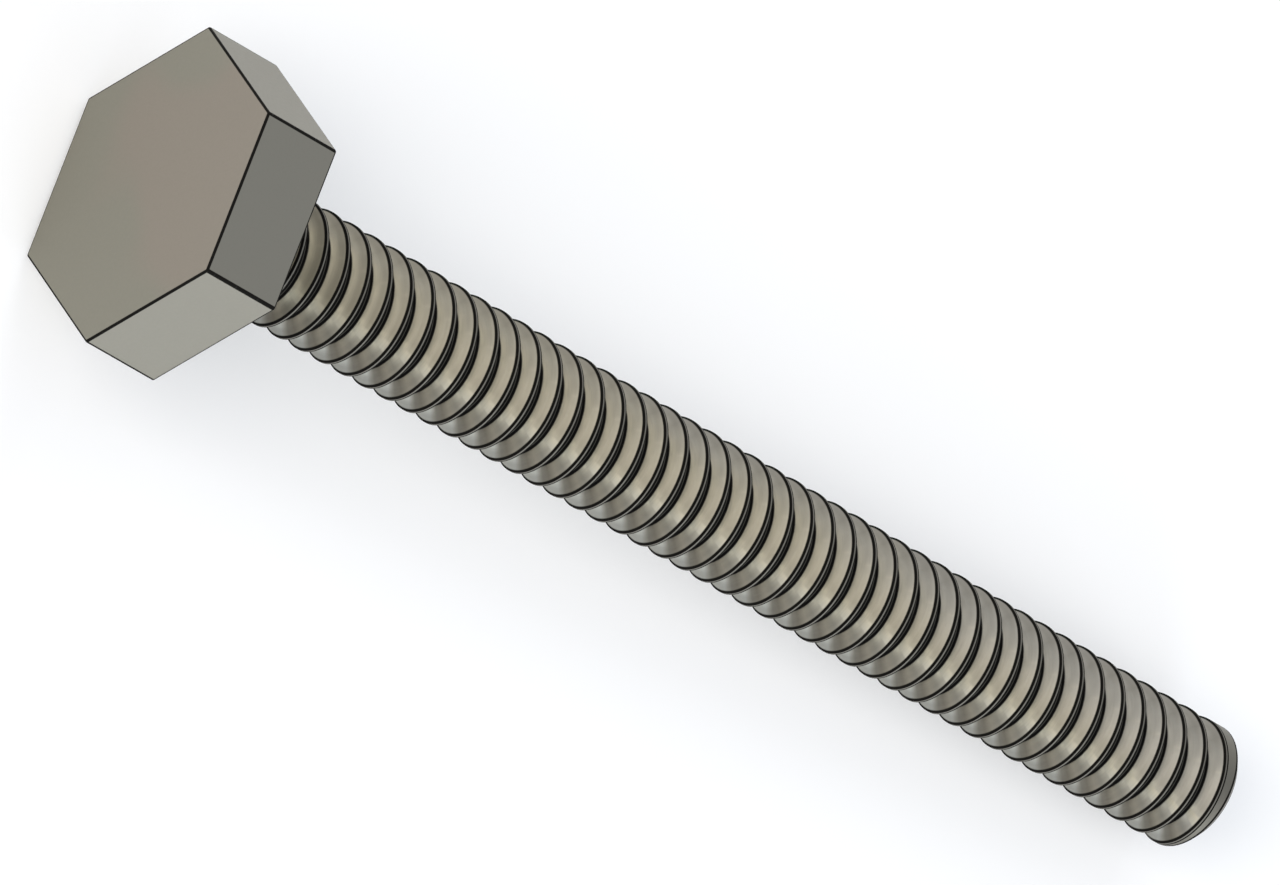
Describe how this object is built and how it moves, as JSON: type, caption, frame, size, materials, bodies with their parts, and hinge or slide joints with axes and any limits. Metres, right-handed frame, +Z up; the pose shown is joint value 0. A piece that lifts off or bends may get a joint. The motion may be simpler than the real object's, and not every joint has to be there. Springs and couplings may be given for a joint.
{
  "type": "hex head machine screw",
  "caption": "Hex head machine screw with a right-hand external thread along its whole shank and a small chamfer at the tip, lying on its head and tip.",
  "frame": {"origin": "where the screw's axis meets the underside of the head", "axes": "+Z up, as the screw lies at rest on one flat of its head and on its tip; +X from the head towards the tip, with the axis leaning 3.35 degrees down from +X"},
  "size_m": [0.0533, 0.0122, 0.0108],
  "materials": {
    "steel": "satin"
  },
  "bodies": {
    "root": {"screw": "steel"}
  },
  "joints": []
}
